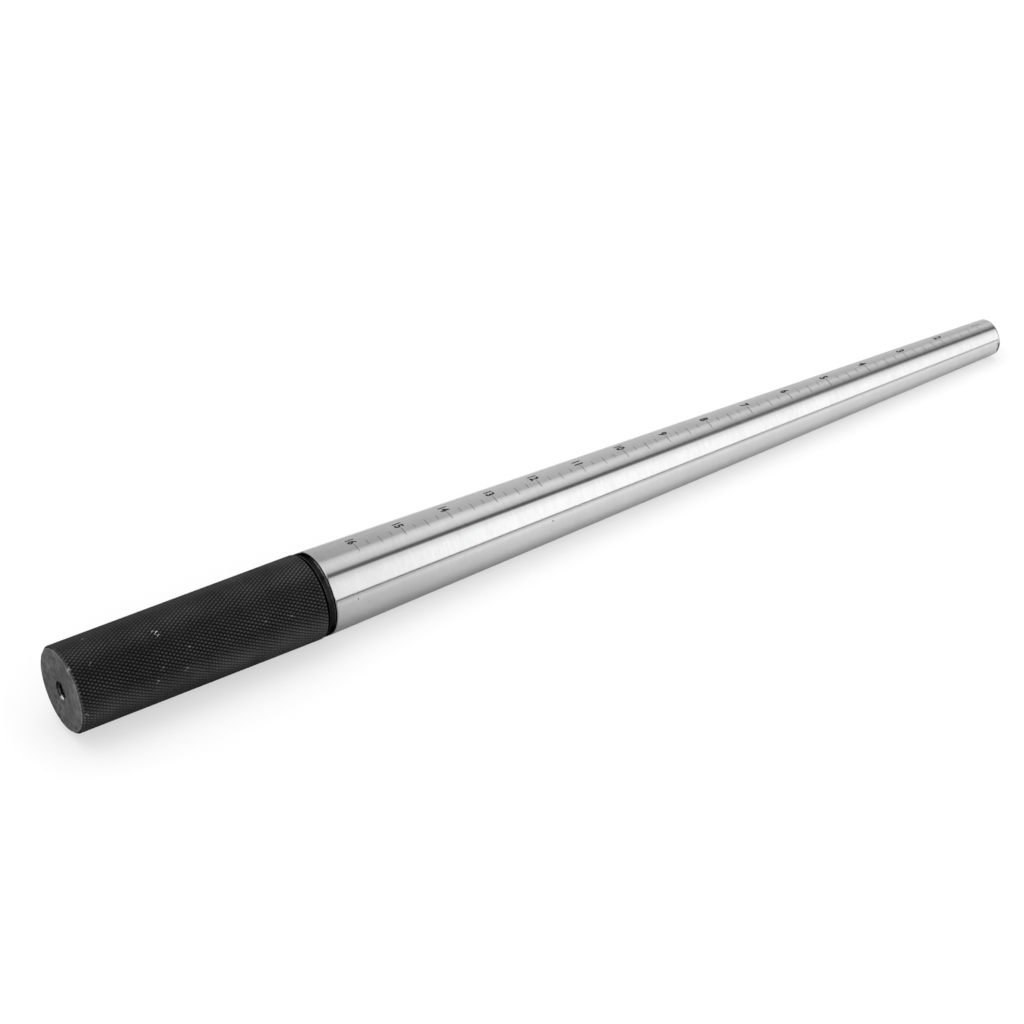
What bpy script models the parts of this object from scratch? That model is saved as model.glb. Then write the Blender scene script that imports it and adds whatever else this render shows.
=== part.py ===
"""Ring-size mandrel: a ground steel taper graduated in US ring sizes, screwed
on a hidden stud to a blackened, knurled steel handle, with a smooth black
collar ring clamped between the two.

Frame: metres, +Z up. The tool lies along X with its handle end at -X and its
thin tip at +X. The origin is under the middle of its length, on the plane
that its lowest line touches.
"""
import math

import bmesh
import bpy

MM = 0.001

# ---------------------------------------------------------------- dimensions
# all in millimetres, positions along the tool measured from mid length
LENGTH = 337.0                      # handle end face to tip end face
X_END = -LENGTH / 2                 # handle end face
X_TIP = LENGTH / 2                  # tip end face

HANDLE_R = 12.84                    # over the crests of the knurl
HANDLE_FRONT = -91.0                # where the knurled body stops
NOSE_R = 12.10                      # narrow neck between knurl and collar
NOSE_LEN = 0.30
END_CHAMFER = 0.84                  # chamfer round the handle's end face
FRONT_CHAMFER = 0.30

JOINT_GAP = 0.30                    # clearance kept between touching pieces
COLLAR_R = 12.62                    # crown of the collar ring
COLLAR_LEN = 2.05
COLLAR_ROUND = 0.62                 # how far the collar's edges fall away

SIZE_PITCH = 15.786                 # axial distance between whole ring sizes
SIZE_COUNT = 16                     # sizes 1 (tip) to 16 (handle)
SIZE16_X = -74.78                   # position of the size 16 line
DIA_AT_ZERO = 11.63                 # inside diameter of ring size 0
DIA_PER_SIZE = 0.8128               # growth of the diameter for each size
BARREL_BACK_CHAMFER = 0.22
TIP_ROUND = 1.00                    # radius of the rounded tip edge

STUD_R = 6.0                        # M12 joining stud
STUD_IN_HANDLE = 22.0
STUD_IN_BARREL = 20.0
STUD_CHAMFER = 1.0
BORE_R = STUD_R + JOINT_GAP         # blind holes that take the stud
BORE_SPARE = 3.0                    # room beyond each end of the stud
DRILL_CONE = BORE_R * math.tan(math.radians(31.0))

END_HOLE_R = 2.65                   # M6 hole in the handle's end face
END_HOLE_DEPTH = 16.0
END_HOLE_CONE = END_HOLE_R * math.tan(math.radians(31.0))

CENTRE_MOUTH_R = 2.65               # 60 degree centre hole, 2.5 mm pilot
CENTRE_PILOT_R = 1.25
CENTRE_CONE_LEN = (CENTRE_MOUTH_R - CENTRE_PILOT_R) / math.tan(math.radians(30.0))
CENTRE_DEPTH = 5.6

LINE_WIDTH = 0.26                   # engraved graduation lines
LINE_DEPTH = 0.14
LINE_START = 0.45                   # arc from the top line to where lines begin
WHOLE_END = 3.65                    # arc where whole size lines end
HALF_END = 3.45
QUARTER_END = 2.25

STEPS = 64                          # facets round the turned pieces
STUD_STEPS = 32

HANDLE_NOSE_X = HANDLE_FRONT + NOSE_LEN
COLLAR_BACK = HANDLE_NOSE_X + JOINT_GAP
COLLAR_FRONT = COLLAR_BACK + COLLAR_LEN
BARREL_BACK = COLLAR_FRONT + JOINT_GAP
AXIS_Z = HANDLE_R                   # height of the axis over the rest plane
STUD_BACK = HANDLE_NOSE_X - STUD_IN_HANDLE
STUD_FRONT = BARREL_BACK + STUD_IN_BARREL


def size_at(x):
    """US ring size whose line would stand at this place along the taper."""
    return SIZE_COUNT - (x - SIZE16_X) / SIZE_PITCH


def taper_radius(x):
    """Radius of the ground taper at this place along the tool."""
    return 0.5 * (DIA_AT_ZERO + DIA_PER_SIZE * size_at(x))


# ------------------------------------------------------------------- helpers
def clear_scene():
    for ob in list(bpy.data.objects):
        bpy.data.objects.remove(ob, do_unlink=True)


def collection(name):
    col = bpy.data.collections.get(name) or bpy.data.collections.new(name)
    if col.name not in bpy.context.scene.collection.children:
        bpy.context.scene.collection.children.link(col)
    return col


def principled(name, colour, roughness, metallic):
    mat = bpy.data.materials.new(name)
    mat.use_nodes = True
    shader = mat.node_tree.nodes["Principled BSDF"]
    shader.inputs["Base Color"].default_value = (*colour, 1.0)
    shader.inputs["Roughness"].default_value = roughness
    shader.inputs["Metallic"].default_value = metallic
    mat.diffuse_color = (*colour, 1.0)
    return mat


def turned(name, profile, col, mat, parent, steps=STEPS, closed=False):
    """A turned piece: (x, r) points in mm, from the tip side of the outline
    down its outer side to the handle side, revolved about the tool's axis."""
    mesh = bpy.data.meshes.new(name)
    verts = [(r * MM, 0.0, x * MM) for x, r in profile]
    edges = [(i, i + 1) for i in range(len(verts) - 1)]
    if closed:
        edges.append((len(verts) - 1, 0))
    mesh.from_pydata(verts, edges, [])
    mesh.materials.append(mat)
    ob = bpy.data.objects.new(name, mesh)
    col.objects.link(ob)
    ob.parent = parent
    ob.location = (0.0, 0.0, 0.0)
    ob.rotation_euler = (0.0, math.radians(90.0), 0.0)
    screw = ob.modifiers.new("turn", "SCREW")
    screw.axis = "Z"
    screw.angle = math.radians(360.0)
    screw.steps = steps
    screw.render_steps = steps
    screw.use_merge_vertices = True
    screw.merge_threshold = 0.00001
    screw.use_smooth_shade = False
    return ob


def freeze(ob):
    """Apply the modifiers, so that the piece can be shaded and cut."""
    deps = bpy.context.evaluated_depsgraph_get()
    deps.update()
    mesh = bpy.data.meshes.new_from_object(ob.evaluated_get(deps))
    ob.modifiers.clear()
    ob.data = mesh
    return ob


def shade(ob, angle=35.0):
    ob.data.shade_smooth()
    ob.data.set_sharp_from_angle(angle=math.radians(angle))


def rounded(x0, r0, x1, r1, bulge, count):
    """Points of a quarter-like arc from (x0, r0) to (x1, r1); bulge 1 passes
    through the outer corner (x0, r1) and 0 the other one (x1, r0)."""
    pts = []
    for i in range(count + 1):
        t = math.radians(90.0 * i / count)
        if bulge:
            pts.append((x1 + (x0 - x1) * math.cos(t), r0 + (r1 - r0) * math.sin(t)))
        else:
            pts.append((x0 + (x1 - x0) * math.sin(t), r1 + (r0 - r1) * math.cos(t)))
    return pts


# ------------------------------------------------------------------ the lines
def bent_bar(x_mid, end):
    """A short bar across the taper, bent to follow its surface: the shape one
    engraved line removes."""
    bar = bmesh.new()
    bmesh.ops.create_cube(bar, size=1.0)
    along = [e for e in bar.edges if abs(e.verts[0].co.y - e.verts[1].co.y) > 0.5]
    bmesh.ops.subdivide_edges(bar, edges=along, cuts=3)
    for v in bar.verts:
        x = x_mid + v.co.x * LINE_WIDTH
        r = taper_radius(x)
        ang = (LINE_START + (v.co.y + 0.5) * (end - LINE_START)) / r
        rad = r - LINE_DEPTH if v.co.z < 0 else r + 0.6
        v.co = (x * MM, -rad * math.sin(ang) * MM, rad * math.cos(ang) * MM)
    if bar.calc_volume(signed=True) < 0.0:
        bmesh.ops.reverse_faces(bar, faces=bar.faces[:])
    mesh = bpy.data.meshes.new("bar")
    bar.to_mesh(mesh)
    bar.free()
    return mesh


def graduation_cutter(col, parent):
    """One mesh holding a bent bar for each engraved line of the scale."""
    bm = bmesh.new()
    for q in range((SIZE_COUNT - 1) * 4 + 1):
        size = 1.0 + q / 4.0
        x_mid = SIZE16_X + (SIZE_COUNT - size) * SIZE_PITCH
        end = WHOLE_END if q % 4 == 0 else HALF_END if q % 2 == 0 else QUARTER_END
        bar = bent_bar(x_mid, end)
        bm.from_mesh(bar)
        bpy.data.meshes.remove(bar)
    mesh = bpy.data.meshes.new("scale_line_cutters")
    bm.to_mesh(mesh)
    bm.free()
    ob = bpy.data.objects.new("scale_line_cutters", mesh)
    col.objects.link(ob)
    ob.parent = parent
    ob.hide_render = True
    ob.display_type = "WIRE"
    return ob


# ---------------------------------------------------------------- the pieces
def build():
    clear_scene()
    parts = collection("ring_mandrel")
    cutters = collection("cutters")

    axis = bpy.data.objects.new("tool_axis", None)
    axis.empty_display_size = 0.02
    axis.location = (0.0, 0.0, AXIS_Z * MM)
    parts.objects.link(axis)

    bright = principled("ground_steel", (0.74, 0.74, 0.74), 0.28, 1.0)
    gloss_black = principled("black_collar", (0.028, 0.028, 0.03), 0.25, 0.6)
    oxide = principled("black_oxide", (0.045, 0.045, 0.047), 0.45, 0.7)
    stud_steel = principled("stud_steel", (0.52, 0.52, 0.53), 0.4, 1.0)

    # taper: centre hole in the tip, rounded tip edge, ground cone, small
    # chamfer at the big end, blind stud hole up the middle
    tip_r = taper_radius(X_TIP)
    edge = []
    n = 5
    for i in range(n + 1):
        t = math.radians(90.0 * i / n)
        x = X_TIP - TIP_ROUND + TIP_ROUND * math.cos(t)
        r = taper_radius(x) - TIP_ROUND + TIP_ROUND * math.sin(t)
        edge.append((x, r))
    back_r = taper_radius(BARREL_BACK)
    bore_end = STUD_FRONT + BORE_SPARE
    profile = [
        (X_TIP - CENTRE_DEPTH, 0.0),
        (X_TIP - CENTRE_DEPTH + 0.5, CENTRE_PILOT_R),
        (X_TIP - CENTRE_CONE_LEN, CENTRE_PILOT_R),
        (X_TIP, CENTRE_MOUTH_R),
    ] + edge
    for q in range(1, 8):
        x = X_TIP - TIP_ROUND + (BARREL_BACK + TIP_ROUND - X_TIP) * q / 8
        profile.append((x, taper_radius(x)))
    profile += [
        (BARREL_BACK + BARREL_BACK_CHAMFER, taper_radius(BARREL_BACK + BARREL_BACK_CHAMFER)),
        (BARREL_BACK, back_r - BARREL_BACK_CHAMFER),
        (BARREL_BACK, BORE_R + 0.6),
        (BARREL_BACK + 0.6, BORE_R),
        (bore_end, BORE_R),
        (bore_end + DRILL_CONE, 0.0),
    ]
    barrel = turned("mandrel_barrel", profile, parts, bright, axis)
    freeze(barrel)
    lines = graduation_cutter(cutters, axis)
    cut = barrel.modifiers.new("engrave_scale", "BOOLEAN")
    cut.operation = "DIFFERENCE"
    cut.solver = "EXACT"
    cut.object = lines
    freeze(barrel)
    shade(barrel)

    # collar ring: flat sides, crowned and rounded rim, clearance hole
    mid = []
    n = 4
    for i in range(n + 1):
        t = math.radians(90.0 * i / n)
        mid.append((COLLAR_FRONT - COLLAR_ROUND + COLLAR_ROUND * math.cos(t),
                    COLLAR_R - COLLAR_ROUND + COLLAR_ROUND * math.sin(t)))
    for i in range(n + 1):
        t = math.radians(90.0 * i / n)
        mid.append((COLLAR_BACK + COLLAR_ROUND - COLLAR_ROUND * math.sin(t),
                    COLLAR_R - COLLAR_ROUND + COLLAR_ROUND * math.cos(t)))
    profile = [(COLLAR_FRONT, BORE_R)] + mid + [(COLLAR_BACK, BORE_R)]
    collar = turned("collar_ring", profile, parts, gloss_black, axis, closed=True)
    freeze(collar)
    shade(collar)

    # handle: stud hole and nose in front, knurled body, chamfered end face
    # with its own threaded hole
    hole_end = STUD_BACK - BORE_SPARE
    profile = [
        (hole_end - DRILL_CONE, 0.0),
        (hole_end, BORE_R),
        (HANDLE_NOSE_X, BORE_R),
        (HANDLE_NOSE_X, NOSE_R),
        (HANDLE_FRONT, NOSE_R),
        (HANDLE_FRONT, HANDLE_R - FRONT_CHAMFER),
        (HANDLE_FRONT - FRONT_CHAMFER, HANDLE_R),
        (HANDLE_FRONT - 26.0, HANDLE_R),
        (X_END + 26.0, HANDLE_R),
        (X_END + END_CHAMFER, HANDLE_R),
        (X_END, HANDLE_R - END_CHAMFER),
        (X_END, END_HOLE_R),
        (X_END + END_HOLE_DEPTH, END_HOLE_R),
        (X_END + END_HOLE_DEPTH + END_HOLE_CONE, 0.0),
    ]
    handle = turned("knurled_handle", profile, parts, oxide, axis)
    freeze(handle)
    shade(handle)

    # joining stud, hidden: half in the handle, half in the taper
    profile = [
        (STUD_FRONT, 0.0),
        (STUD_FRONT, STUD_R - STUD_CHAMFER),
        (STUD_FRONT - STUD_CHAMFER, STUD_R),
        (STUD_BACK + STUD_CHAMFER, STUD_R),
        (STUD_BACK, STUD_R - STUD_CHAMFER),
        (STUD_BACK, 0.0),
    ]
    stud = turned("joining_stud", profile, parts, stud_steel, axis, steps=STUD_STEPS)
    freeze(stud)
    shade(stud)


build()
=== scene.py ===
"""Looks of the ring mandrel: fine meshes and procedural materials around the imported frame.

Lengths below are in millimetres in the row frame (X along the tool, tip at +X,
+Z up, origin under mid length) and turn into metres when a mesh is stored.
An angle "phi" goes round the tool from +Z towards -Y, where the viewer stands.
"""

import math

import bmesh
import bpy
import numpy as np
from mathutils import Matrix, Vector


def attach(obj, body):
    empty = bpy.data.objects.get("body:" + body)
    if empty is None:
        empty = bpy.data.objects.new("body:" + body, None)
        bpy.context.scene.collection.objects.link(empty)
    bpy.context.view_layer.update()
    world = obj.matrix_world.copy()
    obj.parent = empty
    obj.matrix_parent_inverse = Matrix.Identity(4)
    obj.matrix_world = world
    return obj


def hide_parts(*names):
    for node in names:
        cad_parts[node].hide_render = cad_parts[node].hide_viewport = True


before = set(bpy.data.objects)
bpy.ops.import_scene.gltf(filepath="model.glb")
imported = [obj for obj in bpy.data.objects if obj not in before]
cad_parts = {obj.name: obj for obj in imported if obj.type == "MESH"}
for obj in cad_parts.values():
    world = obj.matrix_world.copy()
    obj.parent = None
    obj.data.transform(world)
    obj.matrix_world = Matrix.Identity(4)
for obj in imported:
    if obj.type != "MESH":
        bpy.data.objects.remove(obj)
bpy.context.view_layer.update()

MM = 0.001

# ------------------------------------------------------------- dimensions, mm
X_END, X_TIP = -168.5, 168.5
HANDLE_R = 12.84
HANDLE_FRONT = -91.0
NOSE_R, NOSE_LEN = 12.10, 0.30
END_CHAMFER, FRONT_CHAMFER = 0.84, 0.30
GAP = 0.30
COLLAR_R, COLLAR_LEN, COLLAR_ROUND = 12.62, 2.05, 0.62
SIZE_PITCH, SIZE_COUNT, SIZE16_X = 15.786, 16, -74.78
DIA_AT_ZERO, DIA_PER_SIZE = 11.63, 0.8128
BACK_CHAMFER, TIP_ROUND = 0.22, 1.0
STUD_R, STUD_IN_HANDLE, STUD_IN_BARREL, STUD_CHAMFER = 6.0, 22.0, 20.0, 1.0
BORE_R, BORE_SPARE = 6.3, 3.0
DRILL = math.tan(math.radians(31.0))
END_HOLE_R, END_HOLE_DEPTH = 2.65, 16.0
CENTRE_MOUTH_R, CENTRE_PILOT_R, CENTRE_DEPTH = 2.65, 1.25, 5.6
CENTRE_CONE_LEN = (CENTRE_MOUTH_R - CENTRE_PILOT_R) / math.tan(math.radians(30.0))
LINE_START, WHOLE_END, HALF_END, QUARTER_END = 0.45, 3.65, 3.45, 2.25

NOSE_X = HANDLE_FRONT + NOSE_LEN
COLLAR_BACK = NOSE_X + GAP
COLLAR_FRONT = COLLAR_BACK + COLLAR_LEN
BARREL_BACK = COLLAR_FRONT + GAP
AXIS_Z = HANDLE_R
STUD_BACK = NOSE_X - STUD_IN_HANDLE
STUD_FRONT = BARREL_BACK + STUD_IN_BARREL

SLOPE = DIA_PER_SIZE / SIZE_PITCH / 2.0        # radius lost for each mm towards the tip


def taper(x):
    return 0.5 * (DIA_AT_ZERO + DIA_PER_SIZE * (SIZE_COUNT - (x - SIZE16_X) / SIZE_PITCH))


def around(x, r, phi):
    """Point at place x, radius r, angle phi (radians) round the tool's axis."""
    return (x, -r * math.sin(phi), r * math.cos(phi))


# -------------------------------------------------------------- mesh helpers
def store(name, bm, materials=()):
    """A mesh object from a bmesh in mm about the tool's axis, linked into the scene."""
    if bm.calc_volume(signed=True) < 0.0:
        bmesh.ops.reverse_faces(bm, faces=bm.faces[:])
    me = bpy.data.meshes.new(name)
    bm.to_mesh(me)
    bm.free()
    ob = bpy.data.objects.new(name, me)
    bpy.context.scene.collection.objects.link(ob)
    for m in materials:
        me.materials.append(m)
    return ob


def seat(ob):
    """From mm about the axis to metres in the row frame."""
    ob.data.transform(Matrix.Translation((0, 0, AXIS_Z * MM)) @ Matrix.Scale(MM, 4))
    ob.data.update()


def lathe(profile, steps, closed=False):
    """Revolved outline: (x, r) points, with r 0 at an open outline's ends."""
    bm = bmesh.new()
    rings = []
    for x, r in profile:
        if r <= 1e-9:
            rings.append([bm.verts.new((x, 0.0, 0.0))])
        else:
            rings.append([bm.verts.new(around(x, r, 2 * math.pi * k / steps))
                          for k in range(steps)])
    pairs = list(zip(rings, rings[1:])) + ([(rings[-1], rings[0])] if closed else [])
    for a, b in pairs:
        for k in range(steps):
            n = (k + 1) % steps
            ring = [a[k % len(a)], a[n % len(a)], b[n % len(b)], b[k % len(b)]]
            face = []
            for v in ring:
                if v not in face:
                    face.append(v)
            bm.faces.new(face)
    bmesh.ops.recalc_face_normals(bm, faces=bm.faces[:])
    return bm


def boundary_at(bm, x, tol=1e-4):
    return [e for e in bm.edges if e.is_boundary
            and abs(e.verts[0].co.x - x) < tol and abs(e.verts[1].co.x - x) < tol]


def carry(bm, edges, x, r):
    """Extrudes a loop of edges to place x and radius r, each vertex at its own angle."""
    out = bmesh.ops.extrude_edge_only(bm, edges=edges)["geom"]
    for v in [g for g in out if isinstance(g, bmesh.types.BMVert)]:
        phi = math.atan2(-v.co.y, v.co.z)
        v.co = around(x, r, phi)
    return [g for g in out if isinstance(g, bmesh.types.BMEdge) and g.is_boundary]


def evaluated(ob):
    deps = bpy.context.evaluated_depsgraph_get()
    deps.update()
    me = bpy.data.meshes.new_from_object(ob.evaluated_get(deps))
    ob.modifiers.clear()
    old = ob.data
    ob.data = me
    bpy.data.meshes.remove(old)
    return me


# ----------------------------------------------------------------- materials
def nodes_of(name):
    m = bpy.data.materials.new(name)
    m.use_nodes = True
    nt = m.node_tree
    nt.nodes.clear()
    out = nt.nodes.new("ShaderNodeOutputMaterial")
    bsdf = nt.nodes.new("ShaderNodeBsdfPrincipled")
    nt.links.new(bsdf.outputs[0], out.inputs[0])
    return m, nt, bsdf


class Net:
    """Short hand for building node trees."""

    def __init__(self, nt):
        self.nt = nt

    def node(self, kind, **props):
        n = self.nt.nodes.new(kind)
        for k, v in props.items():
            setattr(n, k, v)
        return n

    def put(self, socket, value):
        if isinstance(value, bpy.types.NodeSocket):
            self.nt.links.new(value, socket)
        elif value is not None:
            socket.default_value = value

    def math(self, op, a, b=None, c=None, clamp=False):
        n = self.node("ShaderNodeMath", operation=op, use_clamp=clamp)
        for s, v in zip(n.inputs, (a, b, c)):
            self.put(s, v)
        return n.outputs[0]

    def noise(self, vector, scale, detail=2.0, rough=0.5, dims="3D"):
        n = self.node("ShaderNodeTexNoise", noise_dimensions=dims)
        self.put(n.inputs["Vector"], vector)
        n.inputs["Scale"].default_value = scale
        n.inputs["Detail"].default_value = detail
        n.inputs["Roughness"].default_value = rough
        return n.outputs[0]

    def span(self, value, a, b, c, d, smooth=False):
        n = self.node("ShaderNodeMapRange")
        n.interpolation_type = "SMOOTHSTEP" if smooth else "LINEAR"
        self.put(n.inputs[0], value)
        for s, v in zip(n.inputs[1:5], (a, b, c, d)):
            s.default_value = v
        return n.outputs[0]

    def mix(self, factor, a, b):
        n = self.node("ShaderNodeMix", data_type="RGBA")
        self.put(n.inputs[0], factor)
        for s, v in ((n.inputs[6], a), (n.inputs[7], b)):
            if isinstance(v, tuple):
                v = (*v, 1.0)
            self.put(s, v)
        return n.outputs[2]

    def join(self, x, y, z):
        n = self.node("ShaderNodeCombineXYZ")
        for s, v in zip(n.inputs, (x, y, z)):
            self.put(s, v)
        return n.outputs[0]

    def place(self):
        """Object coordinates, and place along, offsets from and distance from the tool's axis."""
        at = self.node("ShaderNodeTexCoord").outputs["Object"]
        sep = self.node("ShaderNodeSeparateXYZ")
        self.put(sep.inputs[0], at)
        x, y = sep.outputs[0], sep.outputs[1]
        z = self.math("SUBTRACT", sep.outputs[2], AXIS_Z * MM)
        r = self.math("SQRT", self.math("ADD", self.math("MULTIPLY", y, y),
                                        self.math("MULTIPLY", z, z)))
        return at, x, y, z, r

    def bump(self, height, strength, distance):
        n = self.node("ShaderNodeBump")
        n.inputs["Strength"].default_value = strength
        n.inputs["Distance"].default_value = distance
        self.put(n.inputs["Height"], height)
        return n.outputs[0]


def ring_direction(net):
    t = net.node("ShaderNodeTangent", direction_type="RADIAL", axis="X")
    return t.outputs[0]


def ground_steel():
    """Cylindrically ground tool steel: fine marks round the piece, faint mottling."""
    m, nt, bsdf = nodes_of("ground_steel")
    net = Net(nt)
    at, x, y, z, r = net.place()
    # grinding marks: quick change along the tool, slow change round it
    k = 0.035
    fine = net.noise(net.join(x, net.math("MULTIPLY", y, k), net.math("MULTIPLY", z, k)), 4200, 3.0, 0.7)
    mid = net.noise(net.join(x, net.math("MULTIPLY", y, 0.05), net.math("MULTIPLY", z, 0.05)), 1500, 3.0, 0.62)
    wide = net.noise(net.join(x, net.math("MULTIPLY", y, 0.12), net.math("MULTIPLY", z, 0.12)), 240, 2.0, 0.5)
    cloud = net.noise(at, 90, 3.0, 0.55)
    mottle = net.noise(net.join(x, net.math("MULTIPLY", y, 0.40), net.math("MULTIPLY", z, 0.40)), 1050, 3.0, 0.62)
    wave = net.noise(net.join(x, net.math("MULTIPLY", y, 0.5), net.math("MULTIPLY", z, 0.5)), 190, 2.0, 0.5)
    marks = net.math("ADD", net.math("MULTIPLY", fine, 0.55), net.math("MULTIPLY", mid, 0.45))
    tone = net.math("ADD", net.math("ADD", net.span(marks, 0.3, 0.7, -0.022, 0.022),
                                    net.span(mottle, 0.32, 0.68, -0.015, 0.015)),
                    net.math("ADD", net.span(wide, 0.3, 0.7, -0.010, 0.010),
                             net.span(cloud, 0.3, 0.7, -0.014, 0.014)))
    # darker towards the handle end of the barrel
    tone_scale = net.math("MULTIPLY", net.span(x, -0.088, -0.055, 0.80, 0.93), net.span(x, -0.055, -0.025, 1.0, 1.075))
    # painted dark reflection: the lower side of the rounded tip edge is darkened where a dark surround is mirrored
    rag = net.span(net.noise(at, 900, 3.0, 0.6), 0.3, 0.7, -0.0004, 0.0004)
    edge = net.span(net.math("ADD", x, rag), (X_TIP - 1.75) * MM, (X_TIP - 1.20) * MM, 0.0, 1.0)
    low = net.math("DIVIDE", net.math("ADD", z, rag), net.math("MAXIMUM", r, 0.0001))
    side = net.math("MULTIPLY", net.span(low, 0.30, 0.12, 0.0, 1.0), net.span(y, -0.0024, -0.0034, 0.0, 1.0))
    rounding = net.span(net.math("ADD", r, rag), (taper(X_TIP) - 0.80) * MM, (taper(X_TIP) - 0.35) * MM, 0.0, 1.0)
    tip_painted_dark_reflection = net.math("MULTIPLY", net.math("MULTIPLY", edge, side), rounding)
    # the tip's painted dark reflection goes into the same colour scale
    tone_scale = net.math("MULTIPLY", tone_scale, net.math("SUBTRACT", 1.0, net.math("MULTIPLY", tip_painted_dark_reflection, 0.87)))
    base = net.node("ShaderNodeCombineColor")
    for s, v in zip(base.inputs, (0.680, 0.680, 0.682)):
        net.put(s, net.math("MULTIPLY", net.math("ADD", tone, v), tone_scale))
    net.put(bsdf.inputs["Base Color"], base.outputs[0])
    bsdf.inputs["Metallic"].default_value = 1.0
    net.put(bsdf.inputs["Roughness"], net.span(marks, 0.3, 0.7, 0.125, 0.165))
    bsdf.inputs["Anisotropic"].default_value = 0.8
    bsdf.inputs["Anisotropic Rotation"].default_value = 0.25
    net.put(bsdf.inputs["Tangent"], ring_direction(net))
    lumps = net.math("ADD", net.math("MULTIPLY", marks, 0.05),
                     net.math("ADD", net.math("MULTIPLY", wave, 0.16), net.math("MULTIPLY", mottle, 0.03)))
    net.put(bsdf.inputs["Normal"], net.bump(lumps, 1.0, 0.00001))
    return m


def engraving_dark():
    """Blackened floor and walls of the engraved lines and numbers."""
    m, nt, bsdf = nodes_of("engraving_dark")
    net = Net(nt)
    at, x, y, z, r = net.place()
    n = net.noise(at, 5200, 3.0, 0.6)
    black = net.mix(net.span(n, 0.35, 0.7, 0.0, 1.0), (0.012, 0.012, 0.013), (0.045, 0.044, 0.043))
    # the blacking is nearly gone from the last two numbers at the tip
    faded = net.math("POWER", net.span(x, 0.134, 0.162, 0.0, 1.0), 2.0)
    net.put(bsdf.inputs["Base Color"], net.mix(net.math("MULTIPLY", faded, 0.85), black, (0.46, 0.46, 0.46)))
    bsdf.inputs["Metallic"].default_value = 0.5
    net.put(bsdf.inputs["Roughness"], net.span(n, 0.3, 0.7, 0.5, 0.75))
    net.put(bsdf.inputs["Normal"], net.bump(n, 0.3, 0.00003))
    return m


def line_grey():
    """The finer graduation lines keep less of the blacking."""
    m, nt, bsdf = nodes_of("engraving_grey")
    net = Net(nt)
    at, x, y, z, r = net.place()
    n = net.noise(at, 4200, 3.0, 0.6)
    grey = net.mix(net.span(n, 0.35, 0.65, 0.0, 1.0), (0.055, 0.055, 0.057), (0.16, 0.16, 0.162))
    net.put(bsdf.inputs["Base Color"], net.mix(net.span(x, 0.112, 0.160, 0.0, 0.75), grey, (0.52, 0.52, 0.52)))
    bsdf.inputs["Metallic"].default_value = 0.6
    net.put(bsdf.inputs["Roughness"], net.span(n, 0.3, 0.7, 0.4, 0.65))
    net.put(bsdf.inputs["Normal"], net.bump(n, 0.3, 0.00003))
    return m


def black_oxide():
    """Blackened knurled steel, its blacking worn off the crests in places."""
    m, nt, bsdf = nodes_of("black_oxide")
    net = Net(nt)
    at, x, y, z, r = net.place()
    grain = net.noise(at, 2600, 4.0, 0.62)
    patch = net.noise(at, 130, 3.0, 0.55)
    fine = net.noise(at, 6500, 2.0, 0.5)
    dark = net.mix(net.span(grain, 0.3, 0.7, 0.0, 1.0), (0.025, 0.025, 0.026), (0.061, 0.061, 0.062))
    dark = net.mix(net.span(patch, 0.35, 0.68, 0.0, 0.5), dark, (0.074, 0.074, 0.075))
    # grooves darker and crests paler: partly oxide and dirt in the grooves and wear on the crests, partly painted shade
    # in the grooves
    deep = net.span(r, (HANDLE_R - 0.36) * MM, (HANDLE_R - 0.10) * MM, 0.40, 1.22)
    deep = net.math("MULTIPLY", deep, net.span(x, -0.150, -0.096, 1.0, 1.24))      # greyer where it is gripped
    shade = net.node("ShaderNodeVectorMath", operation="SCALE")
    net.put(shade.inputs[0], dark)
    net.put(shade.inputs["Scale"], deep)
    dark = shade.outputs[0]
    wear_node = net.node("ShaderNodeAttribute", attribute_name="wear")
    wear = wear_node.outputs["Fac"]
    rub = net.math("MULTIPLY", wear, net.span(fine, 0.32, 0.55, 0.35, 1.0), clamp=True)
    net.put(bsdf.inputs["Base Color"], net.mix(rub, dark, (0.88, 0.88, 0.88)))
    net.put(bsdf.inputs["Metallic"], net.math("ADD", net.math("MULTIPLY", rub, 0.18), 0.80, clamp=True))
    net.put(bsdf.inputs["Roughness"], net.math("SUBTRACT", net.span(grain, 0.3, 0.7, 0.34, 0.46), net.math("MULTIPLY", rub, 0.10)))
    bsdf.inputs["Specular Tint"].default_value = (0.08, 0.08, 0.08, 1.0)
    net.put(bsdf.inputs["Normal"], net.bump(net.math("ADD", grain, net.math("MULTIPLY", fine, 0.4)), 0.35, 0.00004))
    return m


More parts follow.
